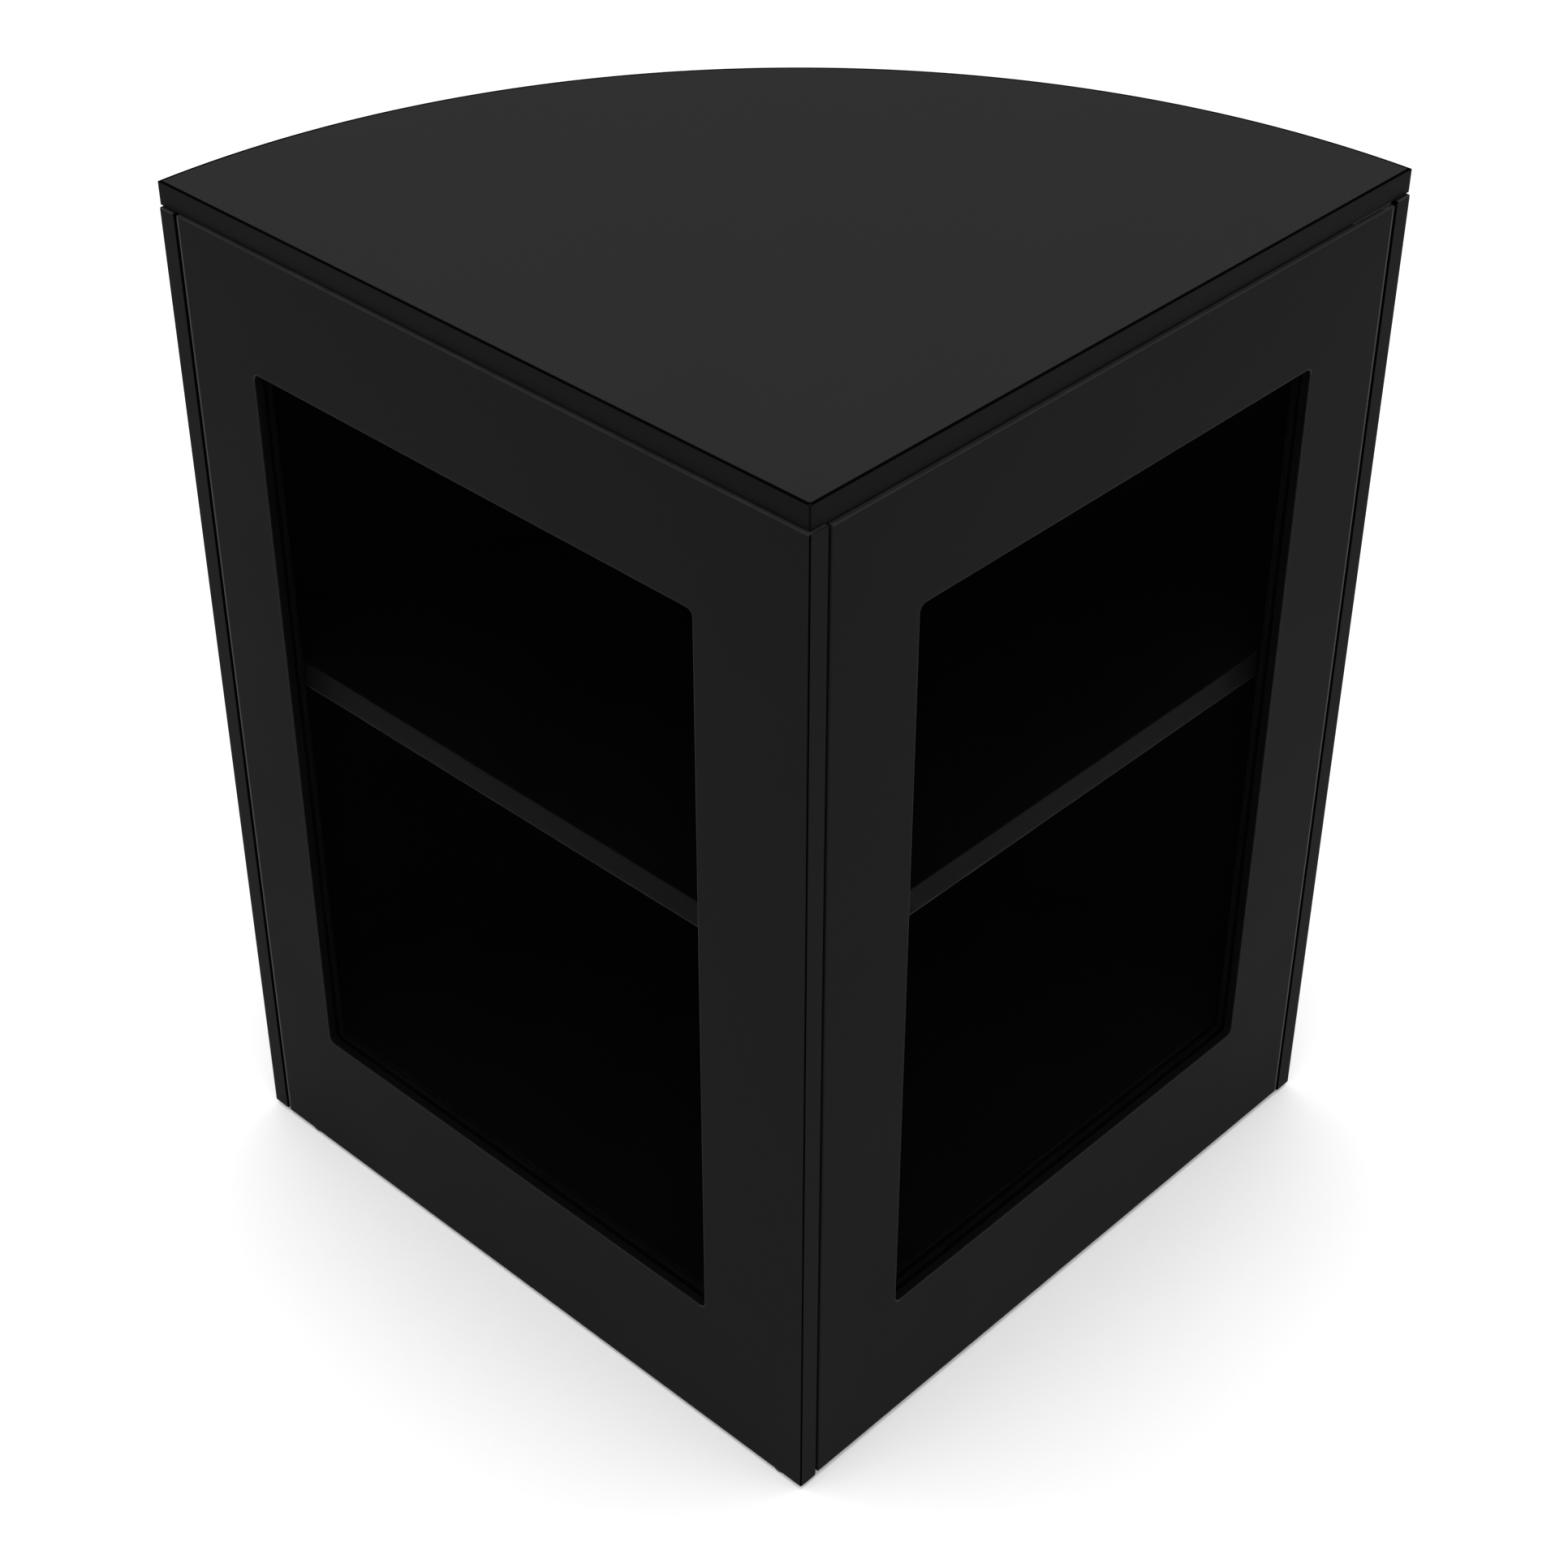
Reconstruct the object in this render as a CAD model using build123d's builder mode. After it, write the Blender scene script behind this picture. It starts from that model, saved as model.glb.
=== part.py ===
"""Quarter-round curio cabinet: two window sides, a curved wall, one shelf and a door on concealed pivots.

Millimetres, +Z up. Plan sketches are drawn from the top panel's square corner: X runs along the door side and
Y along the fixed side. CORNER moves that corner so that the origin is under the middle of the bounding box.
"""
import os

from build123d import *

# ---- driving dimensions --------------------------------------------------------------------------
total_height = 950.0
top_radius = 680.0             # straight side of the top, and the radius of its curved edge
top_thickness = 20.0
band_thickness = 2.0           # edge band glued round the top panel
board = 18.0                   # both frames, the curved wall and the deck
shelf_thickness = 25.0
frame_proud = 3.0              # the frames stand out this far past the top's straight edges
wall_overhang = 2.0            # the top covers the curved wall by this much
arris = 0.8                    # small chamfer on exposed board edges

glide_height = 4.0
sill_height = 136.0            # lower edge of both windows, level with the deck's upper face
head_height = 822.0            # upper edge of both windows
shelf_height = 519.0           # underside of the shelf
window_corner = 6.0

left_gap = 2.5                 # shadow gap between the fixed frame and the curved wall
door_gap = 2.5                 # gap on each upright edge of the door
door_bottom = 6.0
door_top_gap = 2.0
door_back_gap = 4.0            # clear space behind the door
near_stile = 109.5             # fixed frame, from the cabinet's corner to its window
far_stile = 76.0               # fixed frame, beyond its window
door_near_stile = 92.0
door_far_stile = 90.0

glass_thickness = 4.0
glass_setback = 8.0            # from the frame's outer face to the glass
rebate = 9.0                   # width of the rebate round each window
glass_play = 1.0
mitre_gap = 0.15

pivot_from_edge = 8.0          # pivot axis, from the door's hanging edge
pivot_from_face = 6.0          # pivot axis, from the door's outer face
pin_radius = 2.5
pin_length = 13.0
running_clearance = 0.05
bush_radius = 4.0
bush_flange_radius = 5.2
bush_flange = 0.5
plate_thickness = 1.2
plate_corner = 2.0
plate_screw_radius = 1.5
plate_screw_length = 14.0

batten = 20.0
stretcher_height = 60.0

# ---- values worked out from them -----------------------------------------------------------------
face = -frame_proud                              # outer face of both frames
inside = face + board                            # inner face of both frames
back_of_door = inside + door_back_gap            # front edge of everything behind the door
wall_outer = top_radius - wall_overhang
wall_inner = wall_outer - board
box_centre = (top_radius - frame_proud) / 2
CORNER = (-box_centre, -box_centre)

top_underside = total_height - top_thickness
deck_height = sill_height - board
plinth_bottom = glide_height + plate_thickness
window_height = head_height - sill_height

left_length = wall_inner - left_gap - face
left_window = (face + near_stile, face + left_length - far_stile)
door_near = inside + door_gap
door_far = wall_inner - door_gap
door_window = (door_near + door_near_stile, door_far - door_far_stile)
door_top = top_underside - door_top_gap
pivot_x = door_far - pivot_from_edge
pivot_y = face + pivot_from_face


def plan(height):
    """A horizontal sketch plane whose origin is above the top panel's square corner."""
    return Plane((CORNER[0], CORNER[1], height))


def door_elevation(depth):
    """Plane facing out of the door, depth behind its outer face: local X is plan X, local Y is height."""
    return Plane((CORNER[0], CORNER[1] + face + depth, 0), x_dir=(1, 0, 0), z_dir=(0, -1, 0))


def left_elevation(depth):
    """Plane facing inwards, depth behind the fixed frame's face: local X is plan Y, local Y is height."""
    return Plane((CORNER[0] + face + depth, CORNER[1], 0), x_dir=(0, 1, 0), z_dir=(1, 0, 0))


def facing_out(x, y, height):
    """Plane at a plan position, facing along +Y, away from the door's outer face."""
    return Plane((CORNER[0] + x, CORNER[1] + y, height), z_dir=(0, 1, 0))


def facing_in(x, y, height):
    """Plane at a plan position, facing along +X, away from the fixed frame's outer face."""
    return Plane((CORNER[0] + x, CORNER[1] + y, height), z_dir=(1, 0, 0))


def middle(span):
    return (span[0] + span[1]) / 2


def length(span):
    return span[1] - span[0]


def quarter_round(radius, from_x, from_y):
    """Quarter disc about the square corner, cut off along x = from_x and y = from_y."""
    Circle(radius)
    with Locations((from_x, from_y)):
        Rectangle(2 * radius, 2 * radius, align=(Align.MIN, Align.MIN), mode=Mode.INTERSECT)


def rail_behind_door():
    """Plan of a rail that closes the carcass behind the door, fitted to the curved wall."""
    Circle(wall_inner)
    with Locations((inside, back_of_door)):
        Rectangle(2 * wall_inner, board, align=(Align.MIN, Align.MIN), mode=Mode.INTERSECT)


def batten_along_left():
    """Plan of a batten along the fixed frame, from the rail behind the door to the curved wall."""
    Circle(wall_inner)
    with Locations((inside, back_of_door + board)):
        Rectangle(batten, 2 * wall_inner, align=(Align.MIN, Align.MIN), mode=Mode.INTERSECT)


def window_board(elevation, inward, outward_axis, span, window, bottom, top, bored_for):
    """Board with one window: chamfered outer arrises and a square rebate for the glass on the inner face."""
    centre = (middle(window), middle((sill_height, head_height)))
    with BuildPart() as made:
        with BuildSketch(elevation(0)):
            with Locations((middle(span), middle((bottom, top)))):
                Rectangle(length(span), top - bottom)
            with Locations(centre):
                RectangleRounded(length(window), window_height, window_corner, mode=Mode.SUBTRACT)
        extrude(amount=inward * board)
        chamfer(made.faces().sort_by(outward_axis)[0].edges(), arris)
        with BuildSketch(elevation(glass_setback)):
            with Locations(centre):
                Rectangle(length(window) + 2 * rebate, window_height + 2 * rebate)
        extrude(amount=inward * (board - glass_setback), mode=Mode.SUBTRACT)
        for fitting in bored_for:
            add(fitting.part, mode=Mode.SUBTRACT)
    return made


def pane(elevation, inward, window):
    """Sheet of glass lying in a window's rebate."""
    margin = 2 * (rebate - glass_play)
    with BuildPart() as made:
        with BuildSketch(elevation(glass_setback)):
            with Locations((middle(window), middle((sill_height, head_height)))):
                Rectangle(length(window) + margin, window_height + margin)
        extrude(amount=inward * glass_thickness)
    return made


def bead_strips(elevation, inward, window):
    """Four mitred strips that hold a pane in its rebate."""
    wide, high = length(window), window_height
    centre = (middle(window), middle((sill_height, head_height)), 0)
    with BuildPart() as made:
        with BuildSketch(elevation(glass_setback + glass_thickness)):
            for side in range(4):
                run, reach = (wide, high / 2) if side % 2 == 0 else (high, wide / 2)
                inner, outer = run / 2 - mitre_gap, run / 2 + rebate - mitre_gap
                near, far = -reach, -reach - rebate
                with Locations(Location(centre, (0, 0, 90 * side))):
                    Polygon((-inner, near), (-outer, far), (outer, far), (inner, near), align=None)
        extrude(amount=inward * (board - glass_setback - glass_thickness))
    return made


def screw_at(seat, radius, shank):
    """Countersunk screw whose flat head lies in the seat plane, with its shank against the plane's normal."""
    head = 2 * radius
    with Locations(seat):
        Cylinder(radius, shank, align=(Align.CENTER, Align.CENTER, Align.MAX))
        Cone(radius, head, radius, align=(Align.CENTER, Align.CENTER, Align.MAX))


def upright(x, y, height, down=False):
    """Plane at a plan position, facing up, or down."""
    return Plane((CORNER[0] + x, CORNER[1] + y, height), z_dir=(0, 0, -1 if down else 1))


def from_wall(angle, radius, height):
    """Plane on a circle about the square corner, facing the corner."""
    spot = Vector(radius, 0, 0).rotate(Axis.Z, angle)
    return Plane((CORNER[0] + spot.X, CORNER[1] + spot.Y, height), z_dir=-spot)


def save(piece, name):
    piece.part.label = name
    export_step(piece.part, f"parts/{name}.step")


os.makedirs("parts", exist_ok=True)

# ---- fasteners and small hardware, made first because the boards are bored for them --------------
glide_spots = [(face + board / 2, 25.0), (face + board / 2, 620.0)]
for angle in (4, 30, 60, 86):
    spot = Vector((wall_inner + wall_outer) / 2, 0, 0).rotate(Axis.Z, angle)
    glide_spots.append((spot.X, spot.Y))
glide_radius = 8.0
glide_chamfer = 1.0
glide_nail_radius = 1.2
glide_nail_length = 14.0
with BuildPart() as glides:
    with BuildSketch(plan(0)):
        with Locations(*glide_spots):
            Circle(glide_radius)
    extrude(amount=glide_height)
    chamfer(glides.edges().group_by(Axis.Z)[0], glide_chamfer)
    with BuildSketch(plan(glide_height)):
        with Locations(*glide_spots):
            Circle(glide_nail_radius)
    extrude(amount=glide_nail_length)
save(glides, "glides")

dowel_radius = 4.0
dowel_in_top = 12.0
dowel_in_board = 15.0
dowel_spots = [(face + board / 2, y) for y in (60.0, 330.0, 600.0)]
for angle in (15, 35, 55, 75):
    spot = Vector((wall_inner + wall_outer) / 2, 0, 0).rotate(Axis.Z, angle)
    dowel_spots.append((spot.X, spot.Y))
with BuildPart() as top_dowels:
    with BuildSketch(plan(top_underside - dowel_in_board)):
        with Locations(*dowel_spots):
            Circle(dowel_radius)
    extrude(amount=dowel_in_board + dowel_in_top)
save(top_dowels, "top_dowels")

pin_depth = 9.0
shelf_pin_radius = 2.5
shelf_pin_height = shelf_height - shelf_pin_radius
pin_seats = [facing_in(inside - pin_depth, y, shelf_pin_height) for y in (60.0, 600.0)]
pin_seats += [from_wall(angle, wall_inner + pin_depth, shelf_pin_height) for angle in (8, 35, 62)]
with BuildPart() as shelf_pins:
    with Locations(*pin_seats):
        Cylinder(shelf_pin_radius, 2 * pin_depth, align=(Align.CENTER, Align.CENTER, Align.MIN))
save(shelf_pins, "shelf_pins")

batten_screw_radius = 2.0
batten_screw_length = 30.0
batten_screw_seats = [
    facing_in(inside + batten, y, height)
    for y in (120.0, 285.0, 540.0)
    for height in (deck_height - batten / 2, top_underside - batten / 2)
]
with BuildPart() as batten_screws:
    for seat in batten_screw_seats:
        screw_at(seat, batten_screw_radius, batten_screw_length)
save(batten_screws, "batten_screws")

bottom_screw_offsets = (24.0, 4.0)      # from the pivot axis, towards the door's free edge
top_screw_offsets = (38.0, 18.0)
bottom_plate_screw_y = back_of_door + board / 2
top_plate_screw_y = pivot_y + 4.0
top_plate_face = top_underside - plate_thickness
plate_screw_seats = [
    upright(pivot_x - offset, bottom_plate_screw_y, glide_height, down=True)
    for offset in bottom_screw_offsets
]
plate_screw_seats += [
    upright(pivot_x - offset, top_plate_screw_y, top_plate_face, down=True)
    for offset in top_screw_offsets
]
with BuildPart() as pivot_plate_screws:
    for seat in plate_screw_seats:
        screw_at(seat, plate_screw_radius, plate_screw_length)
save(pivot_plate_screws, "pivot_plate_screws")

# ---- touch latch on the fixed frame, behind the door's free edge ---------------------------------
latch_height = 480.0
latch_x = inside + 8.0
latch_length = 62.0
latch_barrel = 16.0            # height and depth of the part that holds the plunger
latch_round = 4.0
latch_ear_height = 34.0
latch_ear_thickness = 3.0
latch_screw_spread = 26.0
plunger_radius = 4.0
plunger_length = 42.0
plunger_stroke = 2.0
bore_spare = 2.0               # bore beyond the plunger's inner end at full stroke
strike_thickness = 1.0
strike_gap = 0.3
magnet_radius = 3.0
magnet_length = 2.0
plunger_tip = inside + strike_thickness + strike_gap
latch_y = back_of_door + latch_length / 2

with BuildPart() as latch_screws:
    for side in (-0.5, 0.5):
        seat = facing_in(inside + latch_ear_thickness, latch_y, latch_height + side * latch_screw_spread)
        screw_at(seat, plate_screw_radius, plate_screw_length)
save(latch_screws, "latch_screws")

with BuildPart() as latch_housing:
    with BuildSketch(left_elevation(board)):
        with Locations((latch_y, latch_height)):
            RectangleRounded(latch_length, latch_ear_height, latch_ear_thickness)
    extrude(amount=latch_ear_thickness)
    with BuildSketch(left_elevation(board)):
        with Locations((latch_y, latch_height)):
            Rectangle(latch_length, latch_barrel)
    extrude(amount=latch_barrel)
    fillet(latch_housing.edges().filter_by(Axis.Y).group_by(Axis.X)[-1], latch_round)
    bore_depth = plunger_tip + plunger_length + plunger_stroke + bore_spare - back_of_door
    with BuildSketch(door_elevation(back_of_door - face)):
        with Locations((latch_x, latch_height)):
            Circle(plunger_radius + running_clearance)
    extrude(amount=-bore_depth, mode=Mode.SUBTRACT)
    add(latch_screws.part, mode=Mode.SUBTRACT)
save(latch_housing, "latch_housing")

with BuildPart() as latch_plunger:
    with BuildSketch(door_elevation(plunger_tip - face)):
        with Locations((latch_x, latch_height)):
            Circle(plunger_radius)
    extrude(amount=-plunger_length)
    with BuildSketch(door_elevation(plunger_tip - face)):
        with Locations((latch_x, latch_height)):
            Circle(magnet_radius)
    extrude(amount=-magnet_length, mode=Mode.SUBTRACT)
save(latch_plunger, "latch_plunger")

with BuildPart() as latch_magnet:
    with BuildSketch(door_elevation(plunger_tip - face)):
        with Locations((latch_x, latch_height)):
            Circle(magnet_radius)
    extrude(amount=-magnet_length)
save(latch_magnet, "latch_magnet")

strike_width = 17.0
strike_height = 32.0
strike_inset = 1.0
strike_screw_spread = 22.0
strike_screw_length = 12.0
strike_x = door_near + strike_inset + strike_width / 2
with BuildPart() as strike_screws:
    for side in (-0.5, 0.5):
        seat = facing_out(strike_x, inside + strike_thickness, latch_height + side * strike_screw_spread)
        screw_at(seat, plate_screw_radius, strike_screw_length)
save(strike_screws, "strike_screws")

with BuildPart() as strike_plate:
    with BuildSketch(door_elevation(board)):
        with Locations((strike_x, latch_height)):
            RectangleRounded(strike_width, strike_height, plate_corner)
    extrude(amount=-strike_thickness)
    add(strike_screws.part, mode=Mode.SUBTRACT)
save(strike_plate, "strike_plate")

# ---- door pivots ---------------------------------------------------------------------------------
pin_chamfer = 0.5
bush_length = 11.0
plate_reach = 8.0              # both plates run this far past the pivot axis, towards the curved wall
plate_front = 3.0              # and this far in front of it
plate_back_inset = 2.0         # the bottom plate stops this far short of the plinth rail's back
bottom_plate_width = 40.0
bottom_plate_depth = plate_front + back_of_door + board - pivot_y - plate_back_inset
top_plate_width = 53.0
top_plate_depth = 14.0

with BuildPart() as bottom_pivot_pin:
    with BuildSketch(plan(glide_height)):
        with Locations((pivot_x, pivot_y)):
            Circle(pin_radius)
    extrude(amount=pin_length)
    chamfer(bottom_pivot_pin.faces().sort_by(Axis.Z)[-1].edges(), pin_chamfer)
save(bottom_pivot_pin, "bottom_pivot_pin")

with BuildPart() as top_pivot_pin:
    with BuildSketch(plan(top_underside)):
        with Locations((pivot_x, pivot_y)):
            Circle(pin_radius)
    extrude(amount=-pin_length)
    chamfer(top_pivot_pin.faces().sort_by(Axis.Z)[0].edges(), pin_chamfer)
save(top_pivot_pin, "top_pivot_pin")

with BuildPart() as bottom_pivot_plate:
    with BuildSketch(plan(glide_height)):
        with Locations((pivot_x + plate_reach, pivot_y - plate_front)):
            Rectangle(bottom_plate_width, bottom_plate_depth, align=(Align.MAX, Align.MIN))
    extrude(amount=plate_thickness)
    fillet(bottom_pivot_plate.edges().filter_by(Axis.Z), plate_corner)
    add(bottom_pivot_pin.part, mode=Mode.SUBTRACT)
    add(pivot_plate_screws.part, mode=Mode.SUBTRACT)
save(bottom_pivot_plate, "bottom_pivot_plate")

with BuildPart() as top_pivot_plate:
    with BuildSketch(plan(top_underside)):
        with Locations((pivot_x + plate_reach, pivot_y - plate_front)):
            Rectangle(top_plate_width, top_plate_depth, align=(Align.MAX, Align.MIN))
    extrude(amount=-plate_thickness)
    fillet(top_pivot_plate.edges().filter_by(Axis.Z), plate_corner)
    add(top_pivot_pin.part, mode=Mode.SUBTRACT)
    add(pivot_plate_screws.part, mode=Mode.SUBTRACT)
save(top_pivot_plate, "top_pivot_plate")


def pivot_bush(height, up):
    """Flanged nylon bush let into the end of the door; up is 1 at its foot and -1 at its head."""
    with BuildPart() as made:
        with BuildSketch(plan(height)):
            with Locations((pivot_x, pivot_y)):
                Circle(bush_radius)
        extrude(amount=up * bush_length)
        with BuildSketch(plan(height)):
            with Locations((pivot_x, pivot_y)):
                Circle(bush_flange_radius)
        extrude(amount=-up * bush_flange)
        with BuildSketch(plan(height - up * bush_flange)):
            with Locations((pivot_x, pivot_y)):
                Circle(pin_radius + running_clearance)
        extrude(amount=up * (bush_flange + bush_length), mode=Mode.SUBTRACT)
    return made


bottom_pivot_bush = pivot_bush(door_bottom, 1)
save(bottom_pivot_bush, "bottom_pivot_bush")

top_pivot_bush = pivot_bush(door_top, -1)
save(top_pivot_bush, "top_pivot_bush")

# ---- the door ------------------------------------------------------------------------------------
with BuildPart() as bush_bores:
    for height, up in ((door_bottom, 1), (door_top, -1)):
        with BuildSketch(plan(height)):
            with Locations((pivot_x, pivot_y)):
                Circle(bush_radius)
        extrude(amount=up * bush_length)

door_frame = window_board(
    door_elevation, -1, Axis.Y, (door_near, door_far), door_window, door_bottom, door_top,
    bored_for=(bush_bores, strike_screws),
)
save(door_frame, "door_frame")

door_glass = pane(door_elevation, -1, door_window)
save(door_glass, "door_glass")

door_glazing_beads = bead_strips(door_elevation, -1, door_window)
save(door_glazing_beads, "door_glazing_beads")

# ---- the fixed side ------------------------------------------------------------------------------
left_frame = window_board(
    left_elevation, 1, Axis.X, (face, face + left_length), left_window, glide_height, top_underside,
    bored_for=(glides, top_dowels, shelf_pins, batten_screws, latch_screws),
)
save(left_frame, "left_frame")

left_glass = pane(left_elevation, 1, left_window)
save(left_glass, "left_glass")

left_glazing_beads = bead_strips(left_elevation, 1, left_window)
save(left_glazing_beads, "left_glazing_beads")

# ---- curved wall: a bent board whose ends run straight on to the faces of the frames -------------
with BuildPart() as curved_wall:
    with BuildSketch(plan(glide_height)):
        Circle(wall_outer)
        Circle(wall_inner, mode=Mode.SUBTRACT)
        Rectangle(wall_outer, wall_outer, align=(Align.MIN, Align.MIN), mode=Mode.INTERSECT)
        with Locations((wall_inner, face)):
            Rectangle(board, frame_proud, align=(Align.MIN, Align.MIN))
        with Locations((face, wall_inner)):
            Rectangle(frame_proud, board, align=(Align.MIN, Align.MIN))
    extrude(amount=top_underside - glide_height)
    for end_face in (curved_wall.faces().sort_by(Axis.Y)[0], curved_wall.faces().sort_by(Axis.X)[0]):
        chamfer(end_face.edges().filter_by(Axis.Z), arris)
    for drilled in (glides, top_dowels, shelf_pins):
        add(drilled.part, mode=Mode.SUBTRACT)
save(curved_wall, "curved_wall")

# ---- deck, shelf and top -------------------------------------------------------------------------
with BuildPart() as deck:
    with BuildSketch(plan(deck_height)):
        quarter_round(wall_inner, inside, back_of_door)
    extrude(amount=board)
save(deck, "deck")

shelf_play = 1.0
with BuildPart() as shelf:
    with BuildSketch(plan(shelf_height)):
        quarter_round(wall_inner - shelf_play, inside + shelf_play / 2, back_of_door)
    extrude(amount=shelf_thickness)
    chamfer(shelf.faces().sort_by(Axis.Y)[0].edges().filter_by(Axis.X), arris)
    chamfer(shelf.faces().sort_by(Axis.X)[0].edges().filter_by(Axis.Y), arris)
save(shelf, "shelf")

seam = 0.6
with BuildPart() as top_panel:
    with BuildSketch(plan(top_underside)):
        quarter_round(top_radius, 0, 0)
        offset(amount=-band_thickness, kind=Kind.INTERSECTION, mode=Mode.REPLACE)
    extrude(amount=top_thickness)
    chamfer(top_panel.faces().sort_by(Axis.Z)[-1].edges(), seam)
    for drilled in (top_dowels, pivot_plate_screws):
        add(drilled.part, mode=Mode.SUBTRACT)
save(top_panel, "top_panel")

with BuildPart() as top_edge_band:
    with BuildSketch(plan(top_underside)):
        quarter_round(top_radius, 0, 0)
        offset(amount=-band_thickness, kind=Kind.INTERSECTION, mode=Mode.SUBTRACT)
    extrude(amount=top_thickness)
    chamfer(top_edge_band.faces().sort_by(Axis.Z)[-1].inner_wires()[0].edges(), seam)
save(top_edge_band, "top_edge_band")

# ---- rails behind the door and battens that tie the carcass together -----------------------------
with BuildPart() as plinth_rail:
    with BuildSketch(plan(plinth_bottom)):
        rail_behind_door()
    extrude(amount=deck_height - plinth_bottom)
    add(pivot_plate_screws.part, mode=Mode.SUBTRACT)
save(plinth_rail, "plinth_rail")

with BuildPart() as top_stretcher:
    with BuildSketch(plan(top_underside - stretcher_height)):
        rail_behind_door()
    extrude(amount=stretcher_height)
save(top_stretcher, "top_stretcher")

with BuildPart() as deck_batten:
    with BuildSketch(plan(deck_height - batten)):
        batten_along_left()
    extrude(amount=batten)
    add(batten_screws.part, mode=Mode.SUBTRACT)
save(deck_batten, "deck_batten")

with BuildPart() as top_batten:
    with BuildSketch(plan(top_underside - batten)):
        batten_along_left()
    extrude(amount=batten)
    add(batten_screws.part, mode=Mode.SUBTRACT)
save(top_batten, "top_batten")

corner_batten_spans = (
    (sill_height, shelf_height - shelf_play),
    (shelf_height + shelf_thickness + shelf_play, top_underside - batten),
)
with BuildPart() as corner_battens:
    for span in corner_batten_spans:
        with BuildSketch(plan(span[0])):
            Circle(wall_inner)
            with Locations((inside, wall_inner - batten)):
                Rectangle(batten, 2 * batten, align=(Align.MIN, Align.MIN), mode=Mode.INTERSECT)
        extrude(amount=length(span))
save(corner_battens, "corner_battens")

block_length = 60.0
block_count = 3
first_block_angle = 22.0
block_spread = 46.0            # angle from the first block to the last


def wall_blocks():
    """Plan of the glue blocks, fitted to the inside of the curved wall."""
    on_wall = wall_inner - batten / 2
    with PolarLocations(on_wall, block_count, first_block_angle, block_spread, endpoint=True):
        Rectangle(1.5 * batten, block_length)
    Circle(wall_inner, mode=Mode.INTERSECT)


with BuildPart() as deck_blocks:
    with BuildSketch(plan(deck_height - batten)):
        wall_blocks()
    extrude(amount=batten)
save(deck_blocks, "deck_blocks")

with BuildPart() as top_blocks:
    with BuildSketch(plan(top_underside - batten)):
        wall_blocks()
    extrude(amount=batten)
save(top_blocks, "top_blocks")

# ---- soft stops between the door and the rails behind it -----------------------------------------
bumper_radius = 5.0
bumper_chamfer = 0.8
bumper_gap = 0.4
bumper_spots = [(60.0, 60.0), (60.0, top_underside - stretcher_height / 2)]
with BuildPart() as door_bumpers:
    with BuildSketch(door_elevation(back_of_door - face)):
        with Locations(*bumper_spots):
            Circle(bumper_radius)
    extrude(amount=door_back_gap - bumper_gap)
    chamfer(door_bumpers.faces().sort_by(Axis.Y)[:2].edges(), bumper_chamfer)
save(door_bumpers, "door_bumpers")
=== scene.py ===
"""Looks of the quarter-round curio cabinet, in metres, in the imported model's frame."""

import math

import bmesh
import bpy
from mathutils import Matrix, Vector


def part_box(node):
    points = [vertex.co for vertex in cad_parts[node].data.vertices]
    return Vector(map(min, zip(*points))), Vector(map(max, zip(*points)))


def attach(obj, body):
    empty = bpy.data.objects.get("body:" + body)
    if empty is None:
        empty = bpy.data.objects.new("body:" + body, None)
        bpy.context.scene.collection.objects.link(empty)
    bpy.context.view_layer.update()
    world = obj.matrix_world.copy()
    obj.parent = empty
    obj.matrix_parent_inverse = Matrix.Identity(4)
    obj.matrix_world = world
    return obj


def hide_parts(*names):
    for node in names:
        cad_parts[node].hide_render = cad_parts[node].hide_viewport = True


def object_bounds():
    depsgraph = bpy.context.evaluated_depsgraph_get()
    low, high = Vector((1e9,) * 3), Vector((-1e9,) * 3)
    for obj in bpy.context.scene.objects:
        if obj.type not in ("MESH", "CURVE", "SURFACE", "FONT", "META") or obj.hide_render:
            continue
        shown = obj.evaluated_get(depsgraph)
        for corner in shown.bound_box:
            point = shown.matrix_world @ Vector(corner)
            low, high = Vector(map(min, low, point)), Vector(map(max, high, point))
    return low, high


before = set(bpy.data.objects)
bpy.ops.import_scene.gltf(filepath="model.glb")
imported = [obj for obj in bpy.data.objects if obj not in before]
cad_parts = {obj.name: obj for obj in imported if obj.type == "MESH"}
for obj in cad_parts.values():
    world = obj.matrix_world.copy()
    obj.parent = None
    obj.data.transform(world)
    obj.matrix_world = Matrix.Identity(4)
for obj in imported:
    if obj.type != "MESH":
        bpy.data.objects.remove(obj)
cad_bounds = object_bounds()

MM = 0.001
TURN = 2 * math.pi
CORNER_STEPS = 8
ARRIS_STEPS = 3
SHARP_ANGLE = math.radians(35)
smallest_corner = 0.02 * MM
weld_distance = 0.01 * MM

# ---- finishes ------------------------------------------------------------------------------------
noise_low = 0.3
noise_high = 0.7
cloud_detail = 5.0
grain_detail = 3.0
bump_strength = 0.6


def grey(level, warmth=0.0):
    """Linear colour of one level, warmer where warmth is above zero."""
    return (level * (1 + warmth), level, level * (1 - warmth), 1.0)


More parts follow.
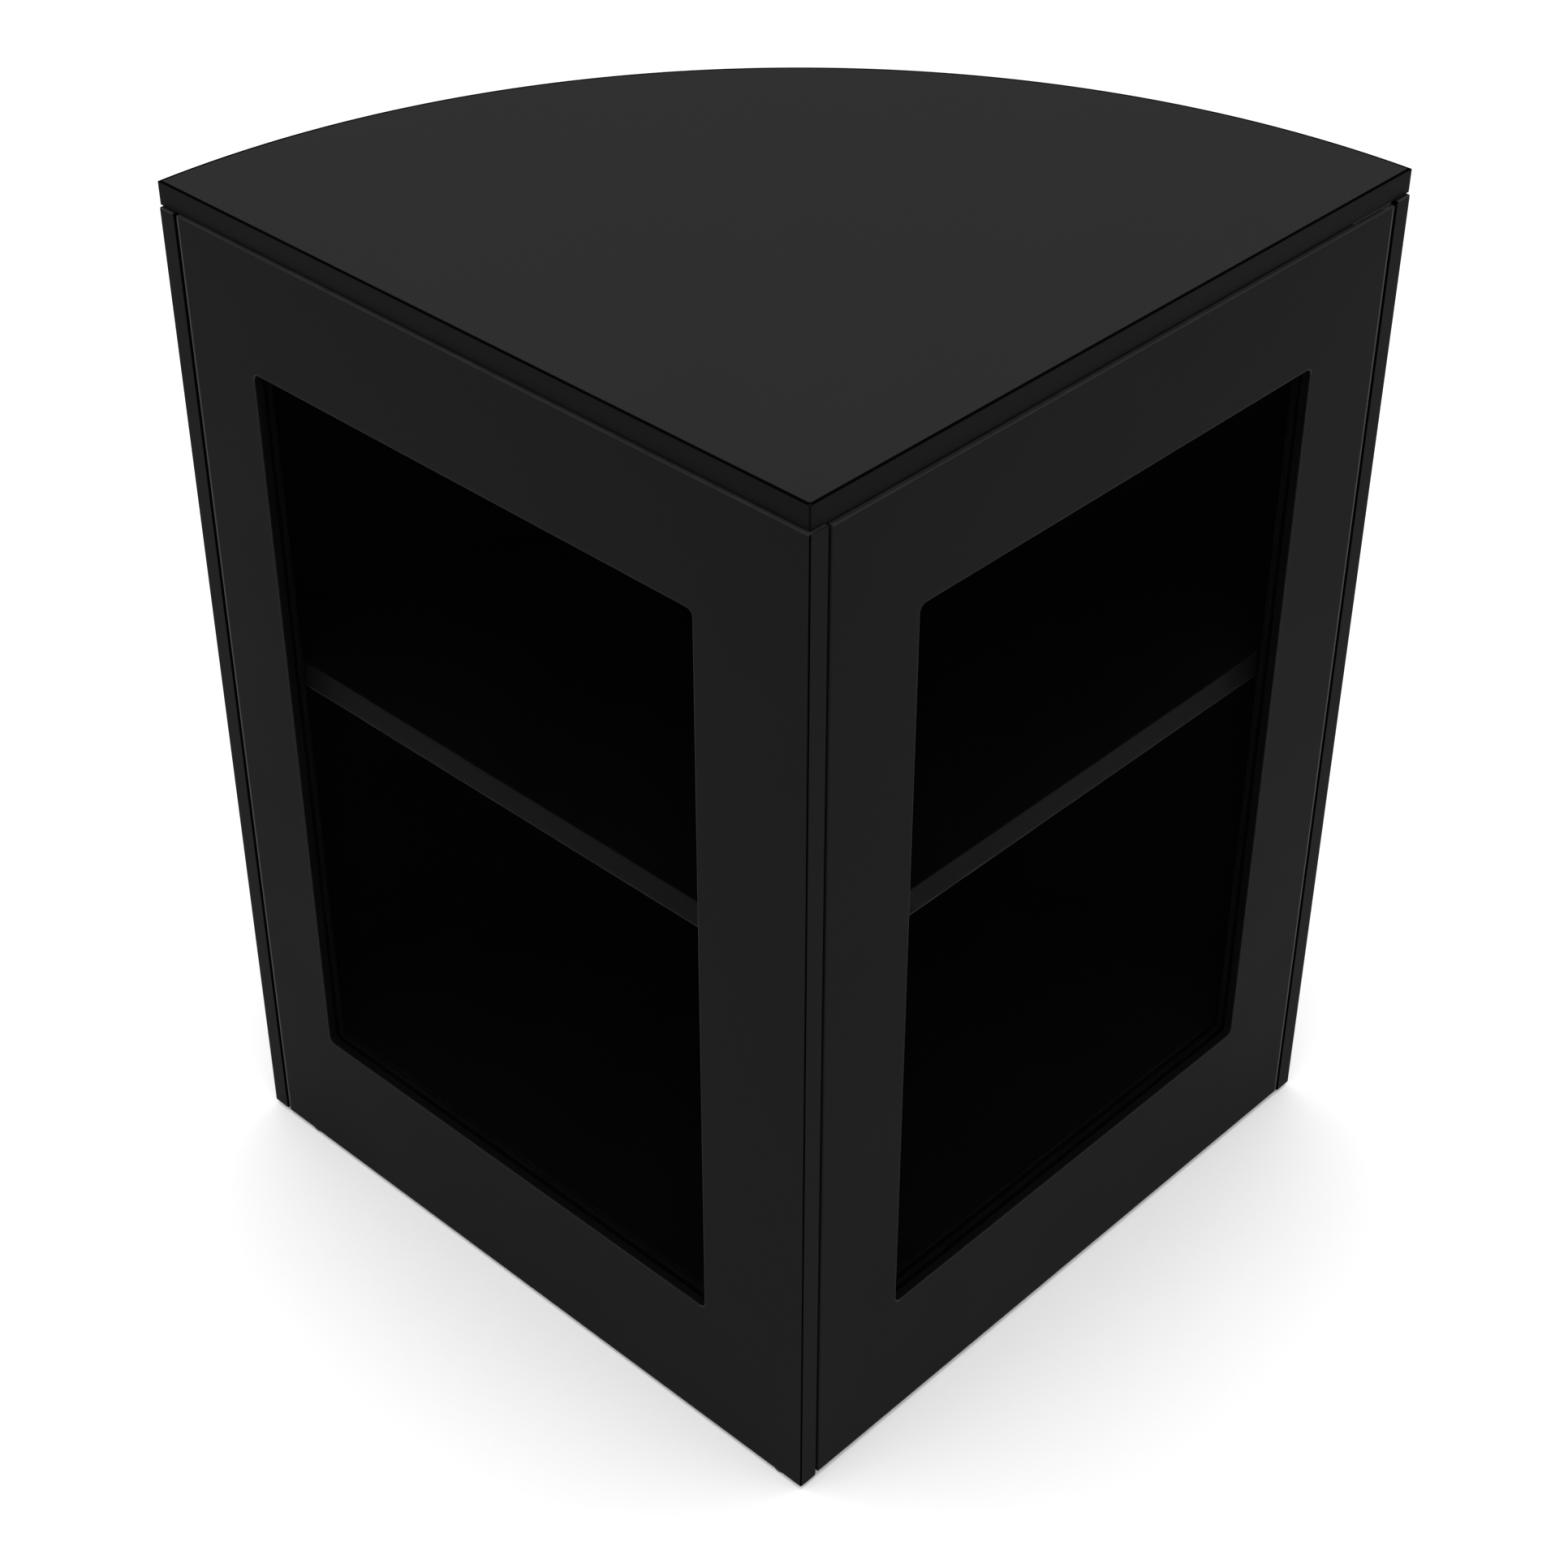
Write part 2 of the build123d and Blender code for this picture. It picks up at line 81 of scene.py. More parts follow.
def finish(name, low, high, rough, cloud, grain, depth, specular=0.5, metallic=0.0, stretch=(1, 1, 1)):
    """Procedural surface. low and high are the colours that cloudy noise runs between, and rough is the
    range of roughness. cloud and grain are two noise scales per metre, and depth is the grain's height."""
    material = bpy.data.materials.new(name)
    material.use_nodes = True
    nodes, links = material.node_tree.nodes, material.node_tree.links
    shader = nodes["Principled BSDF"]
    shader.inputs["Specular IOR Level"].default_value = specular
    shader.inputs["Metallic"].default_value = metallic
    place = nodes.new("ShaderNodeTexCoord")
    scaled = nodes.new("ShaderNodeMapping")
    scaled.inputs["Scale"].default_value = stretch
    links.new(place.outputs["Object"], scaled.inputs["Vector"])
    clouds = nodes.new("ShaderNodeTexNoise")
    clouds.inputs["Scale"].default_value = cloud
    clouds.inputs["Detail"].default_value = cloud_detail
    links.new(scaled.outputs["Vector"], clouds.inputs["Vector"])
    tones = nodes.new("ShaderNodeValToRGB")
    tones.color_ramp.elements[0].position = noise_low
    tones.color_ramp.elements[0].color = low
    tones.color_ramp.elements[1].position = noise_high
    tones.color_ramp.elements[1].color = high
    links.new(clouds.outputs["Fac"], tones.inputs["Fac"])
    links.new(tones.outputs["Color"], shader.inputs["Base Color"])
    gloss = nodes.new("ShaderNodeMapRange")
    gloss.inputs["From Min"].default_value = noise_low
    gloss.inputs["From Max"].default_value = noise_high
    gloss.inputs["To Min"].default_value = rough[0]
    gloss.inputs["To Max"].default_value = rough[1]
    links.new(clouds.outputs["Fac"], gloss.inputs["Value"])
    links.new(gloss.outputs["Result"], shader.inputs["Roughness"])
    grains = nodes.new("ShaderNodeTexNoise")
    grains.inputs["Scale"].default_value = grain
    grains.inputs["Detail"].default_value = grain_detail
    links.new(scaled.outputs["Vector"], grains.inputs["Vector"])
    bump = nodes.new("ShaderNodeBump")
    bump.inputs["Strength"].default_value = bump_strength
    bump.inputs["Distance"].default_value = depth
    links.new(grains.outputs["Fac"], bump.inputs["Height"])
    links.new(bump.outputs["Normal"], shader.inputs["Normal"])
    return material


# lighter copy of the side boards' satin: the top panel painted lighter, as light falls on it more than on
# the sides
top_satin_painted_lighter = finish("top_satin_painted_lighter", grey(0.0120), grey(0.0134), (0.50, 0.58), 9, 2600, 0.04 * MM, 0.015)
satin_board = finish("satin_board", grey(0.0059), grey(0.0071), (0.50, 0.60), 7, 2600, 0.04 * MM, 0.02)
satin_band = finish("satin_band", grey(0.0036), grey(0.0046), (0.46, 0.54), 30, 1900, 0.03 * MM, 0.02)
shelf_band = finish("shelf_band", grey(0.0025), grey(0.0031), (0.46, 0.54), 30, 1900, 0.03 * MM, 0.015)

# arrises painted lighter as highlight lines, from the faintest painted highlight to the strongest
faint_painted_highlight = finish("faint_painted_highlight", grey(0.0105), grey(0.0130), (0.44, 0.54), 60, 1900, 0.03 * MM, 0.04)
ledge_painted_highlight = finish("ledge_painted_highlight", grey(0.0135), grey(0.0175), (0.40, 0.50), 60, 1900, 0.03 * MM, 0.04)
painted_highlight_arris = finish("painted_highlight_arris", grey(0.0150), grey(0.0210), (0.40, 0.50), 60, 1900, 0.03 * MM, 0.06)
strong_painted_highlight = finish("strong_painted_highlight", grey(0.0170), grey(0.0230), (0.38, 0.48), 60, 1900, 0.03 * MM, 0.08)
shelf_painted_highlight = finish("shelf_painted_highlight", grey(0.050), grey(0.066), (0.40, 0.50), 60, 1900, 0.03 * MM, 0.06)

# matte finishes for the inside, its floors and the window reveals: their near-black colours are painted
# shade
inside_painted_shade = finish("inside_painted_shade", grey(0.0006), grey(0.0010), (0.70, 0.80), 12, 2200, 0.05 * MM, 0.0)
inner_floor_painted_shade = finish("inner_floor_painted_shade", grey(0.0013), grey(0.0018), (0.66, 0.76), 9, 2200, 0.05 * MM, 0.0)
reveal_painted_shade = finish("reveal_painted_shade", grey(0.0028), grey(0.0034), (0.62, 0.70), 12, 2200, 0.05 * MM, 0.005)
stained_wood = finish(
    "stained_wood",
    grey(0.004, 0.20),
    grey(0.016, 0.16),
    (0.55, 0.75),
    26,
    900,
    0.25 * MM,
    0.20,
    stretch=(1, 1, 6),
)

black_zinc = finish(
    "black_zinc", grey(0.010), grey(0.018), (0.34, 0.46), 160, 3000, 0.02 * MM, 0.3, metallic=0.5
)
bright_zinc = finish(
    "bright_zinc", grey(0.42, 0.02), grey(0.56, 0.01), (0.22, 0.36), 220, 3000, 0.02 * MM, metallic=1.0
)
nickel = finish(
    "nickel", grey(0.52, 0.04), grey(0.62, 0.03), (0.10, 0.18), 200, 2600, 0.01 * MM, metallic=1.0
)
nylon = finish("nylon", grey(0.014), grey(0.020), (0.42, 0.52), 120, 2400, 0.03 * MM, 0.2)
moulded = finish("moulded", grey(0.012), grey(0.017), (0.46, 0.58), 150, 3200, 0.06 * MM, 0.35)
rubber = finish("rubber", grey(0.020), grey(0.028), (0.72, 0.84), 140, 2000, 0.05 * MM, 0.2)

glass_alpha = 0.03
clear_glass = finish("clear_glass", grey(0.0009), grey(0.001), (0.02, 0.06), 5, 40, 0.002 * MM, 0.01)
clear_glass.node_tree.nodes["Principled BSDF"].inputs["Alpha"].default_value = glass_alpha

# ---- mesh building -------------------------------------------------------------------------------


class Shell:
    """Vertices and faces of one piece, with a finish for each face."""

    def __init__(self):
        self.points = []
        self.faces = []
        self.looks = []

    def face(self, corners, look):
        self.faces.append(corners)
        self.looks.append(look)

    def skin(self, loops, look, closed=False, caps=(None, None)):
        """Quads between loops of equally many points. look is a finish, or gives one for (band, side)."""
        first, count = len(self.points), len(loops[0])
        for loop in loops:
            self.points.extend(Vector(p) for p in loop)
        choose = look if callable(look) else lambda band, side: look
        for band in range(len(loops) if closed else len(loops) - 1):
            here = first + band * count
            there = first + (band + 1) % len(loops) * count
            for side in range(count):
                after = (side + 1) % count
                self.face((here + side, here + after, there + after, there + side), choose(band, side))
        if caps[0]:
            self.face(tuple(range(first + count - 1, first - 1, -1)), caps[0])
        if caps[1]:
            last = first + (len(loops) - 1) * count
            self.face(tuple(range(last, last + count)), caps[1])

    def lathe(self, origin, axis, profile, look, sides=32, cap=None):
        """Turned shape: profile is (radius, height) pairs from one end to the other, height along axis."""
        self.skin([ring_of(origin, axis, r, h, sides) for r, h in profile], look, caps=(cap, cap))

    def build(self, name, body, stands_for):
        """Makes the object, riding on body in place of the CAD nodes stands_for."""
        mesh = bpy.data.meshes.new(name)
        mesh.from_pydata(self.points, [], self.faces)
        finishes = list(dict.fromkeys(self.looks))
        for look in finishes:
            mesh.materials.append(look)
        for polygon, look in zip(mesh.polygons, self.looks):
            polygon.material_index = finishes.index(look)
            polygon.use_smooth = True
        tidy = bmesh.new()
        tidy.from_mesh(mesh)
        bmesh.ops.recalc_face_normals(tidy, faces=tidy.faces)
        tidy.to_mesh(mesh)
        tidy.free()
        mesh.set_sharp_from_angle(angle=SHARP_ANGLE)
        made = bpy.data.objects.new(name, mesh)
        bpy.context.collection.objects.link(made)
        weighted = made.modifiers.new("weighted_normals", "WEIGHTED_NORMAL")
        weighted.keep_sharp = True
        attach(made, body)
        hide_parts(*stands_for)
        return made


def turned(origin, axis, radius, height, angle):
    """Point at a radius and angle about axis, height along it from origin."""
    axis = Vector(axis).normalized()
    across = axis.orthogonal().normalized()
    up = axis.cross(across)
    return Vector(origin) + axis * height + (across * math.cos(angle) + up * math.sin(angle)) * radius


def ring_of(origin, axis, radius, height, sides):
    """Circle of points about axis, height along it from origin."""
    return [turned(origin, axis, radius, height, TURN * i / sides) for i in range(sides)]


def rounded_rectangle(low, high, radius, steps=CORNER_STEPS):
    """Points round a rectangle with rounded corners, steps + 1 to each corner."""
    radius = max(radius, smallest_corner)
    centres = (
        (high[0] - radius, low[1] + radius),
        (high[0] - radius, high[1] - radius),
        (low[0] + radius, high[1] - radius),
        (low[0] + radius, low[1] + radius),
    )
    points = []
    for corner, (x, y) in enumerate(centres):
        for step in range(steps + 1):
            angle = TURN / 4 * (corner - 1 + step / steps)
            points.append((x + radius * math.cos(angle), y + radius * math.sin(angle)))
    return points


def circle_to_match(centre, radius, steps=CORNER_STEPS):
    """Circle with the same points as a rounded rectangle."""
    angles = [TURN / 4 * (corner - 1 + step / steps) for corner in range(4) for step in range(steps + 1)]
    return [(centre[0] + radius * math.cos(a), centre[1] + radius * math.sin(a)) for a in angles]


def grown(low, high, by):
    """Corners of a rectangle moved outwards, or inwards where by is negative."""
    return (low[0] - by, low[1] - by), (high[0] + by, high[1] + by)


def round_over(radius):
    """(distance from the side, distance from the face) at each step of a rounded arris, side first."""
    angles = [TURN / 4 * step / ARRIS_STEPS for step in range(ARRIS_STEPS + 1)]
    return [(radius * (1 - math.cos(a)), radius * (1 - math.sin(a))) for a in angles]


def islands(node):
    """Boxes of the separate solids in a CAD node."""
    shape = bmesh.new()
    shape.from_mesh(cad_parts[node].data)
    bmesh.ops.remove_doubles(shape, verts=shape.verts, dist=weld_distance)
    waiting = set(shape.verts)
    boxes = []
    while waiting:
        reached = [waiting.pop()]
        for vert in reached:
            for edge in vert.link_edges:
                other = edge.other_vert(vert)
                if other in waiting:
                    waiting.remove(other)
                    reached.append(other)
        low = Vector([min(v.co[k] for v in reached) for k in range(3)])
        high = Vector([max(v.co[k] for v in reached) for k in range(3)])
        boxes.append((low, high))
    shape.free()
    return sorted(boxes, key=lambda box: tuple(round(v, 4) for v in (*box[0], *box[1])))


# ---- framed sides --------------------------------------------------------------------------------
arris = 1.0 * MM
rebate = 9 * MM
glass_setback = 8 * MM
window_corner = 6 * MM
back_arris = 0.5 * MM
bead_round = 2.5 * MM
mitre_gap = 0.15 * MM
bead_steps = 5
# width of the margin beside the outer arris, painted as a highlight on the far sides
highlight_margin_width = 1.5 * MM

# sides of a rounded rectangle whose first coordinate runs away from the cabinet's square corner
FAR_SIDES = range(0, 2 * CORNER_STEPS + 1)
TOP_SIDE = 2 * CORNER_STEPS + 1
NEAR_SIDES = range(2 * CORNER_STEPS + 2, 4 * CORNER_STEPS + 3)
BOTTOM_SIDE = 4 * CORNER_STEPS + 3
BOTTOM_AND_FAR_SIDES = (BOTTOM_SIDE, *range(0, CORNER_STEPS + 1))


def on_door(low):
    """Places (across, up, depth behind the outer face) on the door."""
    return lambda across, up, depth: Vector((across, low.y + depth, up))


def on_left(low):
    """Places (across, up, depth behind the outer face) on the fixed side."""
    return lambda across, up, depth: Vector((low.x + depth, across, up))


def window_frame(name, body, node, bead_node, across_axis, place_on, near_arris):
    """Window board with rounded arrises, a reveal painted dark as shade and a square rebate on its back."""
    low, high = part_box(node)
    bead_low, bead_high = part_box(bead_node)
    place = place_on(low)
    deep = high[1 - across_axis] - low[1 - across_axis]
    outer = (low[across_axis], low.z), (high[across_axis], high.z)
    window = grown((bead_low[across_axis], bead_low.z), (bead_high[across_axis], bead_high.z), -rebate)
    rings = []

    def ring(corners, by, radius, depth, look):
        flat = rounded_rectangle(*grown(*corners, by), radius)
        rings.append(([place(x, y, depth) for x, y in flat], look))

    def rounded_rim(corners, offsets, radius, after):
        """Rings of a rounded arris: after is the finish of the band that follows it."""
        for by, face in offsets:
            ring(corners, by, radius + by, face, painted_highlight_arris)
        rings[-1] = (rings[-1][0], after)

    rounded_rim(outer, [(-side, face) for side, face in round_over(arris)], arris, satin_board)
    ring(outer, -arris - highlight_margin_width, 0, 0, satin_board)
    window_bands = range(len(rings), len(rings) + ARRIS_STEPS)
    rounded_rim(window, reversed(round_over(arris)), window_corner, reveal_painted_shade)
    ring(window, 0, window_corner, glass_setback, reveal_painted_shade)
    ring(window, rebate, back_arris, glass_setback, reveal_painted_shade)
    ring(window, rebate, back_arris, deep - back_arris, inside_painted_shade)
    ring(window, rebate + back_arris, 2 * back_arris, deep, inside_painted_shade)
    ring(outer, -back_arris, back_arris, deep, satin_board)
    ring(outer, 0, arris, deep - back_arris, satin_board)

    def look_of(band, side):
        """The outer arris comes first, then a margin painted as a highlight on the far sides, the face and
        the window's arris.
        """
        if side == TOP_SIDE and (band < ARRIS_STEPS or band == len(rings) - 1):
            return ledge_painted_highlight
        if band < ARRIS_STEPS and side in NEAR_SIDES:
            return near_arris
        if band <= ARRIS_STEPS and side in FAR_SIDES:
            return strong_painted_highlight
        if band in window_bands and side in BOTTOM_AND_FAR_SIDES:
            return faint_painted_highlight
        return rings[band][1]

    shell = Shell()
    shell.skin([points for points, look in rings], look_of, closed=True)
    return shell.build(name, body, [node])


def glazing_beads(name, body, node, frame_node, across_axis, place_on):
    """Four mitred quarter-round strips behind the glass."""
    low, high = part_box(node)
    frame_low, frame_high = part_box(frame_node)
    place = place_on(frame_low)
    front = low[1 - across_axis] - frame_low[1 - across_axis]
    back = high[1 - across_axis] - frame_low[1 - across_axis]
    centre = ((low[across_axis] + high[across_axis]) / 2, (low.z + high.z) / 2)
    half = (high[across_axis] - low[across_axis]) / 2 - rebate, (high.z - low.z) / 2 - rebate
    profile = [(0, front), (rebate, front), (rebate, back), (bead_round, back)]
    for step in range(1, bead_steps + 1):
        angle = TURN / 4 * step / bead_steps
        inward = bead_round * (1 - math.sin(angle))
        profile.append((inward, back - bead_round * (1 - math.cos(angle))))
    shell = Shell()
    for corner in range(4):
        turn = Matrix.Rotation(TURN / 4 * corner, 2)
        run, reach = half if corner % 2 == 0 else (half[1], half[0])
        loops = []
        for end in (-1, 1):
            loop = []
            for out, depth in profile:
                along = turn @ Vector((end * (run + out - mitre_gap), -reach - out))
                loop.append(place(centre[0] + along.x, centre[1] + along.y, depth))
            loops.append(loop)
        shell.skin(loops, reveal_painted_shade, caps=(reveal_painted_shade, reveal_painted_shade))
    return shell.build(name, body, [node])


# the left board's near arris takes the inside finish: a painted shade line down the near corner
window_frame(
    "left_board", "carcass", "left_frame", "left_glazing_beads", 1, on_left, inside_painted_shade
)
window_frame(
    "door_board", "door", "door_frame", "door_glazing_beads", 0, on_door, satin_board
)
glazing_beads("left_beads", "carcass", "left_glazing_beads", "left_frame", 1, on_left)
glazing_beads("door_beads", "door", "door_glazing_beads", "door_frame", 0, on_door)

# ---- quarter-round boards ------------------------------------------------------------------------
band_low, band_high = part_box("top_edge_band")
CORNER = Vector((band_low.x, band_low.y, 0))
top_radius = band_high.x - band_low.x
ARC_STEPS = 120
BLUNT_SIDE = ARC_STEPS + 2
blunt_corner = 1.2 * MM


def quarter(radius, from_x, from_y, inset, height):
    """Outline of a quarter disc about the cabinet's square corner, cut along two straight sides and inset.
    Its square corner is blunted, and that short side comes last."""
    radius, from_x, from_y = radius - inset, from_x + inset, from_y + inset
    start, end = math.asin(from_y / radius), math.acos(from_x / radius)
    outline = [CORNER + Vector((from_x + blunt_corner, from_y, height))]
    for step in range(ARC_STEPS + 1):
        angle = start + (end - start) * step / ARC_STEPS
        outline.append(CORNER + Vector((radius * math.cos(angle), radius * math.sin(angle), height)))
    outline.append(CORNER + Vector((from_x, from_y + blunt_corner, height)))
    return outline


def quarter_board(name, node, above, below, edge, lower):
    """Quarter-round board: above, below and edge are its finishes, and lower is that of its lower arris."""
    low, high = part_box(node)
    from_x, from_y = low.x - CORNER.x, low.y - CORNER.y
    reach = math.hypot(high.x - CORNER.x, from_y)
    loops = []
    looks = []
    for side, face in reversed(round_over(arris)):
        loops.append(quarter(reach, from_x, from_y, side, low.z + face))
        looks.append(lower)
    looks[-1] = edge
    for side, face in round_over(arris):
        loops.append(quarter(reach, from_x, from_y, side, high.z - face))
        looks.append(edge)
    shell = Shell()
    shell.skin(loops, lambda band, side: looks[band], caps=(below, above))
    return shell.build(name, "carcass", [node])


quarter_board("deck_board", "deck", inner_floor_painted_shade, satin_board, reveal_painted_shade, reveal_painted_shade)
quarter_board("shelf_board", "shelf", inner_floor_painted_shade, inside_painted_shade, shelf_band, shelf_painted_highlight)

panel_low, panel_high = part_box("top_panel")
band_width = panel_low.x - band_low.x
groove = 0.6 * MM
top_panel = Shell()
panel_radius = top_radius - band_width
top_panel.skin(
    [
        quarter(panel_radius, band_width, band_width, 0, panel_low.z),
        quarter(panel_radius, band_width, band_width, 0, panel_high.z - groove),
        quarter(panel_radius, band_width, band_width, groove, panel_high.z),
    ],
    inside_painted_shade,
    caps=(inside_painted_shade, top_satin_painted_lighter),
)
top_panel.build("top_board", "carcass", ["top_panel"])

band_arris = 0.5 * MM
band_profile = [(band_width, band_low.z, satin_band)]
for side, face in reversed(round_over(band_arris)):
    band_profile.append((side, band_low.z + face, satin_band))
for side, face in round_over(band_arris):
    band_profile.append((side, band_high.z - face, inside_painted_shade))
band_profile.append((band_width - groove, band_high.z, inside_painted_shade))
band_profile.append((band_width, band_high.z - groove, satin_band))
edge_band = Shell()
edge_band.skin(
    [quarter(top_radius, 0, 0, inset, height) for inset, height, look in band_profile],
    lambda band, side: reveal_painted_shade if side == BLUNT_SIDE else band_profile[band][2],
    closed=True,
)
edge_band.build("top_band", "carcass", ["top_edge_band"])

# ---- curved wall ---------------------------------------------------------------------------------
wall_low, wall_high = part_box("curved_wall")
outer_radius = wall_high.x - CORNER.x
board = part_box("left_frame")[1].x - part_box("left_frame")[0].x
inner_radius = outer_radius - board
proud = CORNER.x - wall_low.x
WALL_CORNER_STEPS = 3
WALL_INNER_SIDES = range(2 * WALL_CORNER_STEPS + 2, 4 * WALL_CORNER_STEPS + 3)
wall_loops = []


def wall_section(inner, outer, inset):
    """Upright slice of the wall between two plan points."""
    loop = []
    corners = (inset, wall_low.z + inset), (board - inset, wall_high.z - inset)
    for across, up in rounded_rectangle(*corners, arris, WALL_CORNER_STEPS):
        spot = inner.lerp(outer, across / board)
        loop.append(CORNER + Vector((spot.x, spot.y, up)))
    return loop


def wall_look(band, side):
    """Inner face painted near black as shade, everything else satin, with painted highlights on the arrises
    at the two ends.
    """
    if side in WALL_INNER_SIDES:
        return inside_painted_shade
    if band < ARRIS_STEPS or band >= len(wall_loops) - 1 - ARRIS_STEPS:
        return painted_highlight_arris
    return satin_board


for side, level in reversed(round_over(arris)):
    start = Vector((inner_radius, -proud + level)), Vector((outer_radius, -proud + level))
    wall_loops.append(wall_section(*start, side))
for step in range(ARC_STEPS + 1):
    angle = TURN / 4 * step / ARC_STEPS
    direction = Vector((math.cos(angle), math.sin(angle)))
    wall_loops.append(wall_section(direction * inner_radius, direction * outer_radius, 0))
for side, level in round_over(arris):
    end = Vector((-proud + level, inner_radius)), Vector((-proud + level, outer_radius))
    wall_loops.append(wall_section(*end, side))
curved_wall = Shell()
curved_wall.skin(wall_loops, wall_look, caps=(satin_board, satin_board))
curved_wall.build("wall_board", "carcass", ["curved_wall"])

# ---- screws, pins, glides and stops --------------------------------------------------------------


def cross_reach(angle, arm, half_width):
    """Distance from the middle of a cross to its outline."""
    off = abs((angle + TURN / 8) % (TURN / 4) - TURN / 8)
    if half_width * math.cos(off) < arm * math.sin(off):
        return half_width / math.sin(off)
    return arm / math.cos(off)


def add_screw(shell, seat, facing, radius, shank, look):
    """Countersunk screw with a cross recess: seat is the middle of its flat head."""
    sides = 48
    head = 2 * radius
    point = 0.1 * radius
    rim = 0.08 * radius
    arm = 0.62 * head
    half_width = 0.17 * head
    shank_profile = (point, -shank), (radius, head - shank), (radius, -radius)
    shell.lathe(seat, facing, shank_profile, look, sides=24, cap=look)
    head_profile = (radius, -radius), (head, -rim), (head - rim, 0)
    rings = [ring_of(seat, facing, r, h, sides) for r, h in head_profile]
    for scale, height in ((1.0, 0.0), (0.82, -0.35 * radius), (0.30, -0.75 * radius)):
        recess = []
        for i in range(sides):
            angle = TURN * i / sides
            recess.append(turned(seat, facing, scale * cross_reach(angle, arm, half_width), height, angle))
        rings.append(recess)
    shell.skin(rings, look, caps=(look, look))


def screws(name, body, node, facing, look):
    """Detailed screws in place of a CAD node's plain ones, all facing the same way."""
    facing = Vector(facing)
    axis = max(range(3), key=lambda k: abs(facing[k]))
    shell = Shell()
    for low, high in islands(node):
        seat = (low + high) / 2
        seat[axis] = high[axis] if facing[axis] > 0 else low[axis]
        other = (axis + 1) % 3
        add_screw(shell, seat, facing, (high[other] - low[other]) / 4, high[axis] - low[axis], look)
    return shell.build(name, body, [node])


screws("batten_fixings", "carcass", "batten_screws", (1, 0, 0), black_zinc)
screws("latch_fixings", "carcass", "latch_screws", (1, 0, 0), bright_zinc)
screws("strike_fixings", "door", "strike_screws", (0, 1, 0), bright_zinc)
screws("plate_fixings", "carcass", "pivot_plate_screws", (0, 0, -1), bright_zinc)

left_inner_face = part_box("left_frame")[1].x
stud_half = 9 * MM
stud_tip = 0.7 * MM
studs = Shell()
for low, high in islands("shelf_pins"):
    middle = (low + high) / 2
    radius = (high.z - low.z) / 2
    groove_radius = 0.86 * radius
    facing = Vector((1, 0, 0))
    if low.x > left_inner_face:
        facing = Vector((CORNER.x - middle.x, CORNER.y - middle.y, 0)).normalized()
    profile = [
        (radius - stud_tip, -stud_half),
        (radius, stud_tip - stud_half),
        (radius, 0.40 * stud_half),
        (groove_radius, 0.44 * stud_half),
        (groove_radius, 0.52 * stud_half),
        (radius, 0.56 * stud_half),
        (radius, stud_half - stud_tip),
        (radius - stud_tip, stud_half),
    ]
    studs.lathe(middle, facing, profile, bright_zinc, cap=bright_zinc)
studs.build("shelf_studs", "carcass", ["shelf_pins"])

foot_height = 4 * MM
nail_radius = 1.2 * MM
nail_point = 0.2 * MM
nail_taper = 3 * MM
feet = Shell()
for low, high in islands("glides"):
    middle = (low + high) / 2
    radius = (high.x - low.x) / 2
    nail_length = high.z - low.z
    base = Vector((middle.x, middle.y, low.z))
    foot_profile = [
        (0.30 * radius, 1.0 * MM),
        (0.32 * radius, 0.2 * MM),
        (0.36 * radius, 0),
        (0.80 * radius, 0),
        (0.94 * radius, 0.5 * MM),
        (radius, 1.4 * MM),
        (radius, foot_height - 0.3 * MM),
        (0.96 * radius, foot_height),
    ]
    nail_profile = [
        (0.12 * radius, 0.9 * MM),
        (0.28 * radius, 0.7 * MM),
        (0.28 * radius, 1.1 * MM),
        (nail_radius, 1.6 * MM),
        (nail_radius, nail_length - nail_taper),
        (nail_point, nail_length),
    ]
    feet.lathe(base, (0, 0, 1), foot_profile, nylon, cap=nylon)
    feet.lathe(base, (0, 0, 1), nail_profile, bright_zinc, sides=20, cap=bright_zinc)
feet.build("foot_glides", "carcass", ["glides"])

stops = Shell()
for low, high in islands("door_bumpers"):
    middle = (low + high) / 2
    radius = (high.x - low.x) / 2
    deep = high.y - low.y
    dome = [
        (0.94 * radius, 0),
        (radius, 0.12 * deep),
        (0.98 * radius, 0.45 * deep),
        (0.88 * radius, 0.75 * deep),
        (0.66 * radius, 0.93 * deep),
        (0.35 * radius, deep),
    ]
    stops.lathe(Vector((middle.x, high.y, middle.z)), (0, -1, 0), dome, rubber, cap=rubber)
stops.build("soft_stops", "carcass", ["door_bumpers"])

# ---- pivots --------------------------------------------------------------------------------------
plate_corner = 2 * MM
pin_tip = 0.8 * MM
pin_nose = 0.3 * MM
bush_sides = 40
bush_barrel = 4.0 * MM
bush_collar = 0.5 * MM
bush_lead = 0.3 * MM
bush_soft = 0.2 * MM
bush_taper = 0.4 * MM
running_clearance = 0.05 * MM


def flat_plate(name, body, node, axis, look):
    """Thin plate with rounded corners and softened edges, its thickness along axis."""
    low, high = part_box(node)
    across, up = [k for k in range(3) if k != axis]
    soft = 0.25 * (high[axis] - low[axis])
    levels = [(side, low[axis] + face) for side, face in reversed(round_over(soft))]
    levels += [(side, high[axis] - face) for side, face in round_over(soft)]
    loops = []
    for inset, level in levels:
        corners = grown((low[across], low[up]), (high[across], high[up]), -inset)
        loop = []
        for x, y in rounded_rectangle(*corners, plate_corner - inset):
            spot = Vector((0, 0, 0))
            spot[across], spot[up], spot[axis] = x, y, level
            loop.append(spot)
        loops.append(loop)
    shell = Shell()
    shell.skin(loops, look, caps=(look, look))
    return shell.build(name, body, [node])


flat_plate("bottom_plate", "carcass", "bottom_pivot_plate", 2, black_zinc)
flat_plate("top_plate", "carcass", "top_pivot_plate", 2, black_zinc)
flat_plate("strike", "door", "strike_plate", 1, bright_zinc)


